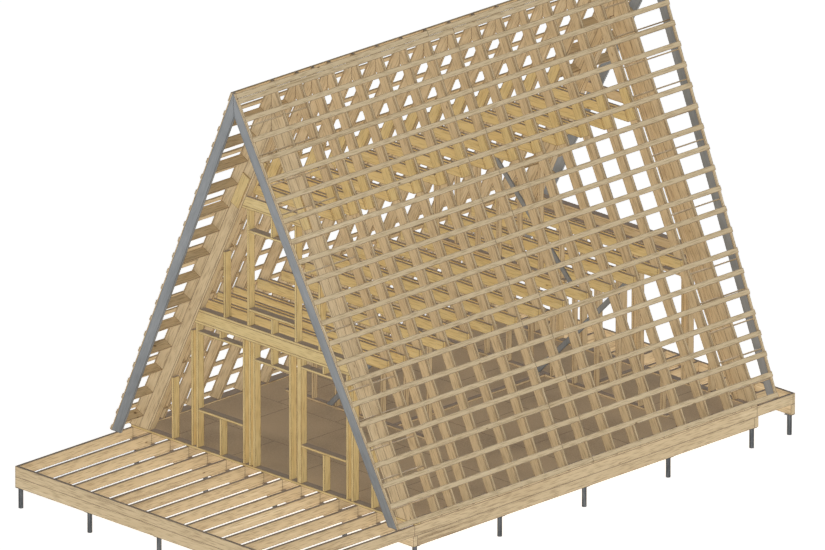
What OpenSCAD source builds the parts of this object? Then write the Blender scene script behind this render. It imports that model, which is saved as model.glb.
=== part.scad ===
// Bare timber frame of an A-frame cabin: screw piles, bearers, an open front deck, the hall floor,
// raked rafters with collars, roof battens, barge boards, framed gable walls and inner partition frames.
// Millimetres, +Z up. The origin lies on the ground at the middle of the whole frame's length and width.
// Lengths along the building count from the outer face of the front gable, then everything is centred.

/* [Overall] */
// Width over the outer faces of the side rims
frame_w = 7160; // [6000:10:8600]
// Length between the outer faces of the two gable frames
hall_len = 8650; // [7000:10:11000]
// Reach of the open deck in front of the front gable
deck_len = 2878; // [1800:2:3600]
// Reach of the small porch behind the rear gable
porch_len = 970; // [600:10:1200]
// Height of the roof battens' outer apex above the ground
ridge_h = 8350; // [6800:5:9900]
// How far the battens' outer face stands outside the side rims at the sole plates' top
eave_out = 77; // [20:1:120]

/* [Piles] */
// Outer diameter of a screw pile's tube
pile_d = 89; // [76:1:133]
// Height of a pile above the ground, with its cap plate
pile_h = 390; // [200:5:700]
// Side of the square cap plate
cap_w = 140; // [120:5:200]
// Thickness of the cap plate
cap_t = 8; // [5:1:12]
// Number of piles across the width
piles_across = 5; // [3:1:7]
// Number of pile rows under the hall
pile_rows = 5; // [3:1:7]
// Distance from a side rim's outer face to the outer piles' centres
pile_inset = 70; // [60:1:100]
// Distance from a gable frame's outer face back to the pile row under it
row_inset = 68; // [40:1:120]

/* [Floor] */
// Thickness of a framing board
board_t = 50; // [40:1:60]
// Depth of the floor joists and rims
joist_h = 200; // [150:5:250]
// Depth of the bearers under the joists
bearer_h = 200; // [150:5:250]
// Width of a bearer across its two boards
bearer_w = 100; // [90:1:140]
// Largest spacing of the joists
joist_step = 480; // [380:5:620]
// Thickness of the floor sheets
sheet_t = 20; // [12:1:25]
// Length of a floor sheet along the building
sheet_l = 1455; // [1200:5:2500]
// Width of a floor sheet across the building
sheet_w = 1450; // [1200:10:2600]
// Place of the first joint across the floor behind the front gable
first_joint_y = 1245; // [600:5:1450]
// Shift of the joints from one row of sheets to the next
sheet_shift = 400; // [0:10:700]
// Thickness of the sole plates and wall plates
plate_t = 45; // [40:1:60]
// Width of a sole plate on a side rim
sole_w = 200; // [100:5:250]

/* [Roof] */
// Depth of a rafter, square to the slope
rafter_d = 200; // [150:5:250]
// Spacing of the rafters
rafter_step = 600; // [500:10:750]
// Spacing of the two trimmed bays near the front
close_step = 400; // [300:10:500]
// Thickness of the counter battens on the rafters
counter_t = 25; // [20:1:60]
// Width of a roof batten
batten_w = 100; // [80:1:120]
// Thickness of a roof batten
batten_t = 25; // [20:1:32]
// Spacing of the roof battens along the slope
batten_step = 383; // [300:1:450]
// Clear gap along the slope between the ridge and the first batten
ridge_gap = 137; // [80:1:200]
// Distance along the slope from a rafter's foot to the lowest batten's middle
foot_batten_up = 71; // [55:1:120]
// Smallest clear gap between the ridge's two battens and the next one
first_gap = 150; // [80:5:250]
// Spacing of the gable ladders' rungs along the slope
rung_step = 555; // [450:1:700]
// Thickness of a rung
rung_t = 25; // [20:1:50]
// Distance along the slope from a rafter's foot to the lowest rung's middle
foot_rung_up = 387; // [250:1:500]
// Reach of the ridge in front of the front gable
ridge_reach_front = 955; // [750:5:1300]
// Reach of the ridge behind the rear gable
ridge_reach_rear = 983; // [700:1:1200]
// How much less the eaves reach than the ridge
rake_back = 495; // [200:5:650]
// Depth of a barge board, square to the slope
barge_d = 200; // [150:5:240]
// Thickness of a barge board
barge_t = 50; // [30:1:60]

/* [Collars] */
// Height of the upper floor beams' underside above the hall floor plate
loft_h = 2394; // [2100:2:2600]
// Depth of a collar board
collar_d = 190; // [150:5:250]
// Height of the high collars' underside above the ground
high_collar_z = 5705; // [5200:5:6200]
// Length of a splice plate along the rafter
splice_len = 700; // [500:10:1000]
// Thickness of a splice plate
splice_t = 25; // [18:1:50]

/* [Gable walls] */
// Depth of the wall studs
stud_d = 145; // [100:5:200]
// Width of the front door opening
door_w = 860; // [700:10:1000]
// Height of the door openings' heads above the floor plate
door_h = 2005; // [1900:5:2200]
// Width of each ground floor window opening
window_w = 1130; // [800:10:1200]
// Distance from the centre line to a window opening
window_in_x = 735; // [680:5:900]
// Height of the ground floor window sills' underside above the floor plate
sill_h = 688; // [500:2:900]
// Height of the ground floor window heads' underside above the floor plate
head_h = 2165; // [1900:5:2250]
// Clear gap inside each pair of studs
pair_gap = 77; // [40:1:120]
// Distance from the centre line to the outer short studs
short_stud_x = 2490; // [2400:10:2700]
// Distance from the centre line to the rear door opening
rear_door_x = 740; // [500:10:900]
// Width of the rear door opening
rear_door_w = 1070; // [800:10:1150]
// Spacing of the rear wall's studs left of its doors
rear_step = 600; // [400:10:700]
// Distance from the centre line to the left face of the rear wall's lone stud
rear_lone_x = 355; // [200:5:500]
// Left face of the first of two close studs in the rear wall
rear_twin_x = 163; // [50:1:300]
// Width of the upper window opening
loft_window_w = 1146; // [900:2:1200]
// Height of the upper window opening
loft_window_h = 1435; // [1000:5:1500]
// Height of the upper window sill's underside above the upper plate
loft_sill_h = 290; // [200:2:600]
// Distance from the centre line to the upper wall's outer studs
loft_stud_x = 1170; // [1000:10:1350]

/* [Partitions] */
// Distance from the front gable to the first cross partition
cross_wall_y = 3180; // [2600:10:3600]
// Distance from the front gable to the rear cross partition
rear_wall_y = 7020; // [6600:10:7400]
// Offset of the hall partition left of the centre line
left_wall_x = -250; // [-600:10:-150]
// Offset of the rear room's partition right of the centre line
right_wall_x = 740; // [500:10:1000]
// Depth of the partition studs
part_d = 100; // [75:5:120]
// Spacing of the partition studs
part_step = 600; // [400:10:700]
// Reach of the ground floor partitions' studs from the centre line
part_reach = 2795; // [2400:5:2850]
// Reach of the upper floor partition's studs from the centre line
loft_part_reach = 1600; // [1200:10:1900]
// Number of the rafter that carries the upper floor partition, from the front
loft_part_rafter = 10; // [6:1:12]
// Width of a diagonal brace
brace_w = 100; // [60:5:150]
// Thickness of a diagonal brace
brace_t = 25; // [18:1:40]
// Place of the front cross partition's brace foot from the centre line
cross_brace_x = -1750; // [-2200:10:-1200]
// Place of the rear cross partition's brace foot from the centre line
rear_brace_x = -350; // [-800:10:0]
// Place of the upper floor partition's brace foot from the centre line
loft_brace_x = 1870; // [1400:10:1950]

/* [Hidden] */

ROUND = 32;
// a saw cut's gap between neighbours that share a node
saw_gap = 2;
half_w = frame_w / 2;
front_y = -deck_len;
back_y = hall_len + porch_len;
ridge_back_y = hall_len + ridge_reach_rear;

// levels above the ground
bearer_z = pile_h;
joist_z = bearer_z + bearer_h;
floor_z = joist_z + joist_h;
sheet_z = floor_z + sheet_t;
sole_z = floor_z + plate_t;
part_z = sheet_z + plate_t;
loft_z = sole_z + loft_h;
loft_plate_z = loft_z + collar_d;
loft_wall_z = loft_plate_z + plate_t;

// the roof plane is the battens' outer face; depths are measured inwards and square to it
pitch = atan2(ridge_h - sole_z, half_w + eave_out);
counter_d = batten_t;
rafter_top_d = batten_t + counter_t;
rafter_low_d = rafter_top_d + rafter_d;
inner_low_d = rafter_low_d + rafter_d;
plate_low_d = inner_low_d + plate_t;
function roof_x(z, d) = (ridge_h - z) / tan(pitch) - d / sin(pitch);
function roof_z(x, d) = ridge_h - (x + d / sin(pitch)) * tan(pitch);
slope_len = (ridge_h - sole_z) / sin(pitch);
// the boards on the rafters are cut level with the first battens' upper edges
ridge_cut_z = ridge_h - ridge_gap * sin(pitch);

// rafter places: the front frame, one full bay, two trimmed bays, then even bays to the rear frame
trim_end = rafter_step + 2 * close_step;
rear_frame_y = hall_len - board_t;
even_bays = round((rear_frame_y - trim_end) / rafter_step);
even_step = (rear_frame_y - trim_end) / even_bays;
RAFTER_Y = concat([0, rafter_step, rafter_step + close_step],
                  [for (i = [0:even_bays]) trim_end + i * even_step]);
last_rafter = len(RAFTER_Y) - 1;
INNER_Y = [for (i = [1:last_rafter - 1]) RAFTER_Y[i]];

// places along the slope, from the ridge: two battens side by side, then even steps up from the foot
pair_end_s = ridge_gap + 2 * batten_w;
low_batten_s = slope_len - foot_batten_up;
batten_count = floor((low_batten_s - pair_end_s - first_gap - batten_w / 2) / batten_step) + 1;
BATTEN_S = concat([for (i = [0:batten_count - 1]) low_batten_s - i * batten_step],
                  [for (i = [0, 1]) ridge_gap + (i + 0.5) * batten_w]);
low_rung_s = slope_len - foot_rung_up;
rung_count = floor((low_rung_s - pair_end_s) / rung_step) + 1;
RUNG_S = [for (i = [0:rung_count - 1]) low_rung_s - i * rung_step];

// ends of the roof at a place along the slope
function front_end(s) = -ridge_reach_front + rake_back * s / slope_len;
function rear_end(s) = ridge_back_y - rake_back * s / slope_len;
rake = atan2(rake_back, slope_len);
// the rearmost point is the barge boards' tip, where the plumb cut meets the level one
tip_s = saw_gap / 2 * cos(pitch) + ridge_gap * pow(sin(pitch), 2);
mid_y = (front_y + max(back_y, rear_end(tip_s))) / 2;

module centred() { translate([0, -mid_y, 0]) children(); }

// moves children so that +X runs down the right slope from the ridge and +Z points out of the roof
module on_slope() { translate([0, 0, ridge_h]) rotate([0, pitch, 0]) children(); }

module both_slopes() { children(); mirror([1, 0, 0]) children(); }

// a board's top end between two depths: plumb at the ridge, and level where it would pass the ridge cut
function ridge_end(d0, d1) =
    let (x = saw_gap / 2, z0 = roof_z(x, d0), z1 = roof_z(x, d1), cut = ridge_cut_z)
    z1 > cut ? [[roof_x(cut, d0), cut], [roof_x(cut, d1), cut]]
    : z0 > cut ? [[roof_x(cut, d0), cut], [x, cut], [x, z1]]
    : [[x, z0], [x, z1]];

// a board between two depths under the roof plane, cut at the ridge, with a level foot
module raked_board(d0, d1, foot_z, y, t)
    translate([0, y + t, 0]) rotate([90, 0, 0]) linear_extrude(t)
        polygon(concat([[roof_x(foot_z, d0), foot_z]], ridge_end(d0, d1), [[roof_x(foot_z, d1), foot_z]]));

// a level board across the frame whose ends follow the roof at a depth under its plane
module level_board(z, h, d, y, t) {
    low_x = roof_x(z, d);
    top_x = roof_x(z + h, d);
    translate([0, y + t, 0]) rotate([90, 0, 0]) linear_extrude(t)
        polygon([[-low_x, z], [low_x, z], [top_x, z + h], [-top_x, z + h]]);
}

// a level board with plumb ends whose upper corners lie at a depth under the roof plane
module square_board(z, h, d, y, t)
    translate([-roof_x(z + h, d), y, z]) cube([2 * roof_x(z + h, d), t, h]);

// even places for boards of width w between two ends, no further apart than step
function even_places(a, b, w, step) =
    let (n = ceil((b - a - w) / step)) [for (i = [0:n]) a + i * (b - a - w) / n];

// piles
PILE_X = [for (i = [0:piles_across - 1])
    -half_w + pile_inset + i * (frame_w - 2 * pile_inset) / (piles_across - 1)];
deck_pile_y = front_y + pile_inset;
porch_pile_y = back_y - pile_inset;
first_row_y = row_inset;
last_row_y = hall_len - row_inset;
PILE_Y = concat([deck_pile_y],
                [for (i = [0:pile_rows - 1]) first_row_y + i * (last_row_y - first_row_y) / (pile_rows - 1)],
                [porch_pile_y]);

module pile_tubes() centred() color("dimgray")
    for (x = PILE_X, y = PILE_Y) translate([x, y, 0]) cylinder(d = pile_d, h = pile_h - cap_t, $fn = ROUND);

module pile_caps() centred() color("#3c3f42")
    for (x = PILE_X, y = PILE_Y)
        translate([x - cap_w / 2, y - cap_w / 2, pile_h - cap_t]) cube([cap_w, cap_w, cap_t]);

// bearers
bearer_front_y = row_inset - bearer_w;
bearer_back_y = hall_len - row_inset;
module cross_bearers() centred() color("burlywood")
    for (y = [front_y, bearer_front_y, bearer_back_y, back_y - bearer_w])
        translate([-half_w, y, bearer_z]) cube([frame_w, bearer_w, bearer_h]);

module side_bearers() centred() color("burlywood")
    for (x = PILE_X) {
        w = abs(x) > half_w - cap_w ? board_t : bearer_w;
        x0 = x < -half_w + cap_w ? -half_w : x > half_w - cap_w ? half_w - w : x - w / 2;
        translate([x0, bearer_front_y + bearer_w, bearer_z])
            cube([w, bearer_back_y - bearer_front_y - bearer_w, bearer_h]);
    }

// front deck
module deck_rims() centred() color("burlywood") {
    translate([-half_w, front_y, joist_z]) cube([frame_w, board_t, joist_h]);
    for (x = [-half_w, half_w - board_t])
        translate([x, front_y + board_t + saw_gap, joist_z])
            cube([board_t, deck_len - board_t - saw_gap, joist_h]);
}

JOIST_X = even_places(-half_w, half_w, board_t, joist_step);
INNER_JOIST_X = [for (i = [1:len(JOIST_X) - 2]) JOIST_X[i]];
module deck_joists() centred() color("burlywood")
    for (x = INNER_JOIST_X)
        translate([x, front_y + board_t, joist_z]) cube([board_t, deck_len - board_t, joist_h]);

// hall floor
module hall_rims() centred() color("burlywood") {
    for (x = [-half_w, half_w - board_t]) translate([x, 0, joist_z]) cube([board_t, hall_len, joist_h]);
}
module hall_joists() centred() color("burlywood")
    for (x = INNER_JOIST_X) translate([x, 0, joist_z]) cube([board_t, hall_len, joist_h]);

// rear porch
module porch_rims() centred() color("burlywood") {
    translate([-half_w, back_y - board_t, joist_z]) cube([frame_w, board_t, joist_h]);
    for (x = [-half_w, half_w - board_t])
        translate([x, hall_len, joist_z]) cube([board_t, porch_len - board_t - saw_gap, joist_h]);
}
module porch_joists() centred() color("burlywood")
    for (x = INNER_JOIST_X)
        translate([x, hall_len, joist_z]) cube([board_t, porch_len - board_t, joist_h]);

// floor sheets lie between the plates, in rows with staggered joints, and no cut one is under a quarter
least_part = 1 / 4;
sheet_half = half_w - sole_w - saw_gap;
sheet_y0 = stud_d + saw_gap;
sheet_y1 = hall_len - stud_d - saw_gap;
last_joint_y = sheet_y1 - least_part * sheet_l;
ROW_Y = concat([sheet_y0], [for (y = [first_joint_y : sheet_l : last_joint_y]) y], [sheet_y1]);
function row_cuts(shift) = concat([-sheet_half],
    [for (x = [-sheet_half + sheet_w / 2 + shift : sheet_w : sheet_half - least_part * sheet_w]) x],
    [sheet_half]);
module floor_sheets() centred() color("#80705a")
    for (r = [0:len(ROW_Y) - 2]) {
        cuts = row_cuts(r * sheet_shift % (sheet_w / 2));
        for (i = [0:len(cuts) - 2])
            translate([cuts[i] + saw_gap / 2, ROW_Y[r] + saw_gap / 2, floor_z])
                cube([cuts[i + 1] - cuts[i] - saw_gap, ROW_Y[r + 1] - ROW_Y[r] - saw_gap, sheet_t]);
    }

module sole_plates() centred() color("burlywood")
    for (x = [-half_w, half_w - sole_w])
        translate([x, stud_d + saw_gap, floor_z]) cube([sole_w, hall_len - 2 * (stud_d + saw_gap), plate_t]);

// rafters
module right_rafter_set() for (y = RAFTER_Y) raked_board(rafter_top_d, rafter_low_d, sole_z, y, board_t);
module left_rafters() centred() color("tan") mirror([1, 0, 0]) right_rafter_set();
module right_rafters() centred() color("tan") right_rafter_set();

module right_counter_set() for (y = RAFTER_Y) raked_board(counter_d, rafter_top_d, sole_z, y, board_t);
module left_counter_battens() centred() color("tan") mirror([1, 0, 0]) right_counter_set();
module right_counter_battens() centred() color("tan") right_counter_set();

// roof battens, each in two boards that meet on one of the two middle rafters in turn
function joint_y(i) = RAFTER_Y[floor(last_rafter / 2) + (i + 1) % 2] + board_t / 2;
module batten(s, y0, y1)
    translate([s - (batten_w - saw_gap) / 2, y0, -batten_t]) cube([batten_w - saw_gap, y1 - y0, batten_t]);
module right_batten_set() on_slope()
    for (i = [0:len(BATTEN_S) - 1]) {
        batten(BATTEN_S[i], front_end(BATTEN_S[i]), joint_y(i) - saw_gap / 2);
        batten(BATTEN_S[i], joint_y(i) + saw_gap / 2, rear_end(BATTEN_S[i]));
    }
module left_roof_battens() centred() color("tan") mirror([1, 0, 0]) right_batten_set();
module right_roof_battens() centred() color("tan") right_batten_set();

// splice plates cover the joints of the rafters' boards beside the high collars
splice_s = (ridge_h - high_collar_z - rafter_low_d * cos(pitch)) / sin(pitch) - splice_len / 2;
function at_splice(s) = abs(s - splice_s) < (splice_len + rung_t) / 2 ? splice_t : 0;

// rungs of the gable ladders: from the barge board to the gable frame, and on to the next rafter
module rung(s, y0, y1)
    translate([s - rung_t / 2, y0, -rafter_low_d]) cube([rung_t, y1 - y0, rafter_d]);
module right_rung_set() on_slope()
    for (s = RUNG_S) {
        barge_in = barge_t / cos(rake) + rung_t / 2 * tan(rake);
        rung(s, front_end(s) + barge_in, RAFTER_Y[0]);
        rung(s, RAFTER_Y[0] + board_t, RAFTER_Y[1] - at_splice(s));
        rung(s, RAFTER_Y[last_rafter - 1] + board_t + at_splice(s), RAFTER_Y[last_rafter]);
        rung(s, RAFTER_Y[last_rafter] + board_t, rear_end(s) - barge_in);
    }
module left_gable_rungs() centred() color("tan") mirror([1, 0, 0]) right_rung_set();
module right_gable_rungs() centred() color("tan") right_rung_set();

// barge boards lean with the rake, and are cut plumb at the ridge and level at the foot
module raked_strip(d0, d1, t, foot_z) {
    past = slope_len / 4;
    intersection() {
        on_slope() translate([0, -ridge_reach_front, 0]) rotate([0, 0, rake])
            translate([-past, 0, -d1]) cube([slope_len + 2 * past, t, d1 - d0]);
        translate([saw_gap / 2, -2 * ridge_reach_front, foot_z])
            cube([frame_w, 4 * ridge_reach_front, ridge_cut_z - foot_z]);
    }
}
module front_strips(d0, d1, t, foot_z) both_slopes() raked_strip(d0, d1, t, foot_z);
module rear_strips(d0, d1, t, foot_z)
    translate([0, ridge_back_y - ridge_reach_front, 0]) mirror([0, 1, 0]) front_strips(d0, d1, t, foot_z);
module front_barge_boards() centred() color("#82858a")
    front_strips(rafter_top_d, rafter_top_d + barge_d, barge_t, sole_z);
module rear_barge_boards() centred() color("#82858a")
    rear_strips(rafter_top_d, rafter_top_d + barge_d, barge_t, sole_z);
module front_barge_strips() centred() color("tan") front_strips(counter_d, rafter_top_d, barge_t, sole_z);
module rear_barge_strips() centred() color("tan") rear_strips(counter_d, rafter_top_d, barge_t, sole_z);

// gable frames: a second board under the gable rafter, and a flat raked plate under that
module gable_inner_rafters() centred() color("tan")
    for (y = [0, rear_frame_y]) both_slopes() raked_board(rafter_low_d, inner_low_d, sole_z, y, board_t);
module gable_raked_plates() centred() color("tan")
    for (y = [0, hall_len - stud_d]) both_slopes() raked_board(inner_low_d, plate_low_d, sole_z, y, stud_d);

module splice(y, d0, d1) on_slope()
    translate([splice_s - splice_len / 2, y, -d1]) cube([splice_len, splice_t, d1 - d0]);
module rafter_splices() centred() color("#d9bd6e") both_slopes() {
    for (y = INNER_Y) {
        splice(y - splice_t, rafter_top_d, rafter_low_d);
        splice(y + board_t, rafter_top_d, rafter_low_d);
    }
    for (y = [-splice_t, hall_len]) splice(y, rafter_low_d, inner_low_d);
}

// collars: a board on each face of every inner rafter pair; the high ones end at the splice plates
module loft_collars() centred() color("#d9bd6e")
    for (y = INNER_Y, side = [-board_t, board_t])
        square_board(loft_z, collar_d, rafter_top_d, y + side, board_t);
module high_collars() centred() color("#d9bd6e")
    for (y = INNER_Y, side = [-board_t, board_t])
        level_board(high_collar_z, collar_d, rafter_low_d, y + side, board_t);

// gable walls: what both share is drawn for the front and turned over for the rear
module on_gables() {
    children();
    translate([0, hall_len, 0]) mirror([0, 1, 0]) children();
}
module gable_floor_plates() centred() color("#d9bd6e") on_gables()
    translate([-half_w, 0, floor_z]) cube([frame_w, stud_d, plate_t]);
module gable_head_plates() centred() color("#d9bd6e") {
    on_gables() level_board(loft_z - plate_t, plate_t, plate_low_d, 0, stud_d);
    level_board(high_collar_z - plate_t, plate_t, plate_low_d, 0, stud_d);
}
module gable_beams() centred() color("#d9bd6e") on_gables()
    for (z = [loft_z, high_collar_z]) level_board(z, collar_d, plate_low_d, 0, board_t);

// left faces of the studs: the front wall has a door and two windows, and the rear wall open bays and a door
door_half = door_w / 2;
window_out_x = window_in_x + window_w;
pair_step = board_t + pair_gap;
rear_post_x = rear_door_x + rear_door_w;
FRONT_STUD_X = [-short_stud_x - board_t, -window_out_x - pair_step - board_t, -window_out_x - board_t,
                -window_in_x, -window_in_x + 3 * board_t, -door_half - board_t, door_half,
                window_in_x - 2 * board_t, window_in_x - board_t, window_out_x, window_out_x + pair_step,
                short_stud_x];
REAR_STUD_X = concat([for (i = [0:3]) -short_stud_x - board_t + i * rear_step],
                     [-rear_lone_x, rear_twin_x, rear_twin_x + 2 * board_t, rear_door_x - pair_step - board_t,
                      rear_door_x - board_t, rear_post_x, rear_post_x + pair_step, short_stud_x]);
function stud_top(x, top_z, d) = min(top_z, roof_z(max(abs(x), abs(x + board_t)), d));
module stud(x, y, z0, z1, d) translate([x, y, z0]) cube([board_t, d, z1 - z0]);
module gable_studs() centred() color("#d9bd6e") {
    for (x = FRONT_STUD_X) stud(x, 0, sole_z, stud_top(x, loft_z - plate_t, plate_low_d), stud_d);
    for (x = REAR_STUD_X)
        stud(x, hall_len - stud_d, sole_z, stud_top(x, loft_z - plate_t, plate_low_d), stud_d);
}

module gable_sills_and_heads() centred() color("#d9bd6e") {
    for (h = [sill_h, head_h]) both_slopes()
        translate([window_in_x, 0, sole_z + h]) cube([window_w, stud_d, plate_t]);
    translate([-door_half, 0, sole_z + door_h]) cube([door_w, stud_d, plate_t]);
    translate([rear_door_x, hall_len - stud_d, sole_z + door_h]) cube([rear_door_w, stud_d, plate_t]);
}
module gable_cripples() centred() color("#d9bd6e") {
    mid_x = window_in_x + (window_w - board_t) / 2;
    both_slopes() {
        stud(mid_x, 0, sole_z, sole_z + sill_h, stud_d);
        stud(mid_x, 0, sole_z + head_h + plate_t, loft_z - plate_t, stud_d);
    }
    stud(-board_t / 2, 0, sole_z + door_h + plate_t, loft_z - plate_t, stud_d);
    stud(rear_door_x + (rear_door_w - board_t) / 2, hall_len - stud_d, sole_z + door_h + plate_t,
         loft_z - plate_t, stud_d);
}

// upper gable walls: framed round a window in front, open above the plate at the rear
module loft_wall_plates() centred() color("#d9bd6e") on_gables()
    level_board(loft_plate_z, plate_t, plate_low_d, 0, stud_d);
module loft_wall_studs() centred() color("#d9bd6e") both_slopes()
    for (x = [loft_window_w / 2, loft_stud_x])
        stud(x, 0, loft_wall_z, stud_top(x, high_collar_z - plate_t, plate_low_d), stud_d);
loft_head_z = loft_wall_z + loft_sill_h + plate_t + loft_window_h;
module loft_wall_sills() centred() color("#d9bd6e")
    for (z = [loft_wall_z + loft_sill_h, loft_head_z])
        translate([-loft_window_w / 2, 0, z]) cube([loft_window_w, stud_d, plate_t]);
module loft_wall_cripples() centred() color("#d9bd6e") {
    stud(-board_t / 2, 0, loft_wall_z, loft_wall_z + loft_sill_h, stud_d);
    stud(-board_t / 2, 0, loft_head_z + plate_t, high_collar_z - plate_t, stud_d);
}

// partitions
module partition_floor_plates() centred() color("tan") {
    half = part_reach + part_d;
    translate([-half, cross_wall_y, sheet_z]) cube([half + right_wall_x, part_d, plate_t]);
    translate([-half, rear_wall_y, sheet_z]) cube([2 * half, part_d, plate_t]);
    translate([left_wall_x, cross_wall_y + part_d + saw_gap, sheet_z])
        cube([part_d, rear_wall_y - cross_wall_y - part_d - 2 * saw_gap, plate_t]);
    translate([right_wall_x, rear_wall_y + part_d + saw_gap, sheet_z])
        cube([part_d, sheet_y1 - rear_wall_y - part_d - saw_gap, plate_t]);
}
module partition_studs() centred() color("tan") {
    for (x = even_places(-part_reach, right_wall_x, board_t, part_step))
        stud(x, cross_wall_y, part_z, stud_top(x, loft_z, rafter_low_d), part_d);
    for (x = even_places(-part_reach, part_reach, board_t, part_step))
        stud(x, rear_wall_y, part_z, stud_top(x, loft_z, rafter_low_d), part_d);
}
loft_part_y = RAFTER_Y[loft_part_rafter] + board_t;
module loft_partition_plate() centred() color("tan")
    translate([-loft_part_reach - part_d, loft_part_y, loft_plate_z])
        cube([2 * (loft_part_reach + part_d), part_d, plate_t]);
module loft_partition_studs() centred() color("tan")
    for (x = even_places(-loft_part_reach, loft_part_reach, board_t, part_step))
        stud(x, loft_part_y, loft_wall_z, stud_top(x, high_collar_z, rafter_low_d), part_d);

// a brace at 45 degrees on a partition's front face, rising to the right, or to the left when turned
module brace(x, y, z0, z1, turn) {
    w = brace_w / cos(45);
    rise = z1 - z0;
    translate([x, y, z0]) rotate([90, 0, 0]) linear_extrude(brace_t)
        polygon([[-w / 2, 0], [w / 2, 0], [turn * rise + w / 2, rise], [turn * rise - w / 2, rise]]);
}
module partition_braces() centred() color("#82858a") {
    brace(cross_brace_x, cross_wall_y, part_z, loft_z, 1);
    brace(rear_brace_x, rear_wall_y, part_z, loft_z, 1);
    brace(loft_brace_x, loft_part_y, loft_wall_z, high_collar_z, -1);
}

pile_tubes();
pile_caps();
cross_bearers();
side_bearers();
deck_rims();
deck_joists();
hall_rims();
hall_joists();
porch_rims();
porch_joists();
floor_sheets();
sole_plates();
left_rafters();
right_rafters();
left_counter_battens();
right_counter_battens();
left_roof_battens();
right_roof_battens();
left_gable_rungs();
right_gable_rungs();
front_barge_boards();
rear_barge_boards();
front_barge_strips();
rear_barge_strips();
gable_inner_rafters();
gable_raked_plates();
rafter_splices();
loft_collars();
high_collars();
gable_floor_plates();
gable_studs();
gable_sills_and_heads();
gable_cripples();
gable_beams();
gable_head_plates();
loft_wall_plates();
loft_wall_studs();
loft_wall_sills();
loft_wall_cripples();
partition_floor_plates();
partition_studs();
loft_partition_plate();
loft_partition_studs();
partition_braces();
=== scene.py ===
"""Looks of the bare timber frame of an A-frame cabin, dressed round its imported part. Metres, +Z up."""

import logging
import math
from dataclasses import dataclass, field, replace
from enum import Enum
from typing import Any, Iterable

import bmesh
import bpy
from mathutils import Matrix, Vector


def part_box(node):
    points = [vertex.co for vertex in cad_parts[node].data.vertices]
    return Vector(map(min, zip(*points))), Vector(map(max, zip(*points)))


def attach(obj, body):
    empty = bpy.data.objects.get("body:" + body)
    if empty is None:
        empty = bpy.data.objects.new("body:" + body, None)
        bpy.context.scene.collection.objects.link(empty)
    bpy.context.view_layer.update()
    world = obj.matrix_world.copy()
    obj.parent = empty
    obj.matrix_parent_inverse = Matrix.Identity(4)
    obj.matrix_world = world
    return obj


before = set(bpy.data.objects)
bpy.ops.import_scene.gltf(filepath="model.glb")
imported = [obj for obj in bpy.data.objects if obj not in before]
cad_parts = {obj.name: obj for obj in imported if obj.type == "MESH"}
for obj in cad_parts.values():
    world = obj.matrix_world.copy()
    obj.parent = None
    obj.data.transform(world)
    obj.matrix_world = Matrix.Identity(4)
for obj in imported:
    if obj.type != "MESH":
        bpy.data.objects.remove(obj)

log = logging.getLogger("cabin")
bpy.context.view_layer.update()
BODY = "root"
MM = 0.001

# The cosine within which a face counts as looking one way.
FACING = 0.99

# A Mix node's inputs and output for colours and for vectors go by number, because their names repeat.
COLOUR_UNDER, COLOUR_OVER, COLOUR_MIXED = 6, 7, 2
VECTOR_UNDER, VECTOR_OVER, VECTOR_MIXED = 4, 5, 1

# A screen colour's bend into linear light.
BEND_START = 0.04045
BEND_SLOPE = 12.92
BEND_OFFSET = 0.055
BEND_POWER = 2.4

Colour = tuple[float, float, float]
Scale = tuple[float, float, float]
Socket = bpy.types.NodeSocket


class Grain(Enum):
    """The way that a node's boards run. ROUND is for frames with boards that run across and along."""

    ACROSS = "across"
    ALONG = "along"
    ROUND = "round"
    UPRIGHT = "upright"
    LEFT_SLOPE = "left_slope"
    RIGHT_SLOPE = "right_slope"
    BOTH_SLOPES = "both_slopes"


def linear(colour: Colour) -> tuple[float, float, float, float]:
    """Turns a screen colour into the shader's linear one.

    Args:
        colour: Red, green and blue from 0 to 255.

    Returns:
        Linear red, green, blue and alpha.
    """
    made = []
    for part in (c / 255 for c in colour):
        if part <= BEND_START:
            made.append(part / BEND_SLOPE)
        else:
            made.append(((part + BEND_OFFSET) / (1 + BEND_OFFSET)) ** BEND_POWER)
    return (*made, 1.0)


def vertices_of(node: str) -> list[Vector]:
    """Returns where a CAD node's vertices are."""
    return [v.co.copy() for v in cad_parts[node].data.vertices]


def bands(values: Iterable[float], gap: float = MM) -> list[float]:
    """Finds the distinct values among many near-equal ones.

    Args:
        values: Places along one axis.
        gap: Values closer than this are one.

    Returns:
        The distinct values in rising order.
    """
    found: list[float] = []
    for value in sorted(values):
        if not found or value - found[-1] > gap:
            found.append(value)
    return found


def pairs(values: list[float]) -> list[tuple[float, float]]:
    """Returns a list's values two by two."""
    return list(zip(values[::2], values[1::2]))


def middles(values: Iterable[float]) -> list[float]:
    """Returns the middle of each board, from the places of all boards' faces along one axis."""
    return [(low + high) / 2 for low, high in pairs(bands(values))]


@dataclass(frozen=True)
class Slope:
    """One side of the roof, read from the counter battens that lie on its rafters."""

    side: int
    foot: Vector
    pitch: float

    @classmethod
    def read(cls, side: int) -> "Slope":
        """Measures a slope in the frame.

        Args:
            side: 1 for the right slope and -1 for the left one.

        Returns:
            The slope, with the outer foot of its counter battens and its pitch.
        """
        corners = vertices_of("right_counter_battens" if side > 0 else "left_counter_battens")
        foot = max(corners, key=lambda c: side * c.x)
        top = max(c.z for c in corners)
        head = max((c for c in corners if top - c.z < MM), key=lambda c: side * c.x)
        return cls(side, foot, math.atan2(head.z - foot.z, side * (foot.x - head.x)))

    @property
    def down(self) -> Vector:
        """The unit vector that runs down the slope."""
        return Vector((self.side * math.cos(self.pitch), 0, -math.sin(self.pitch)))

    @property
    def out(self) -> Vector:
        """The unit vector that points out of the roof."""
        return Vector((self.side * math.sin(self.pitch), 0, math.cos(self.pitch)))


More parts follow.
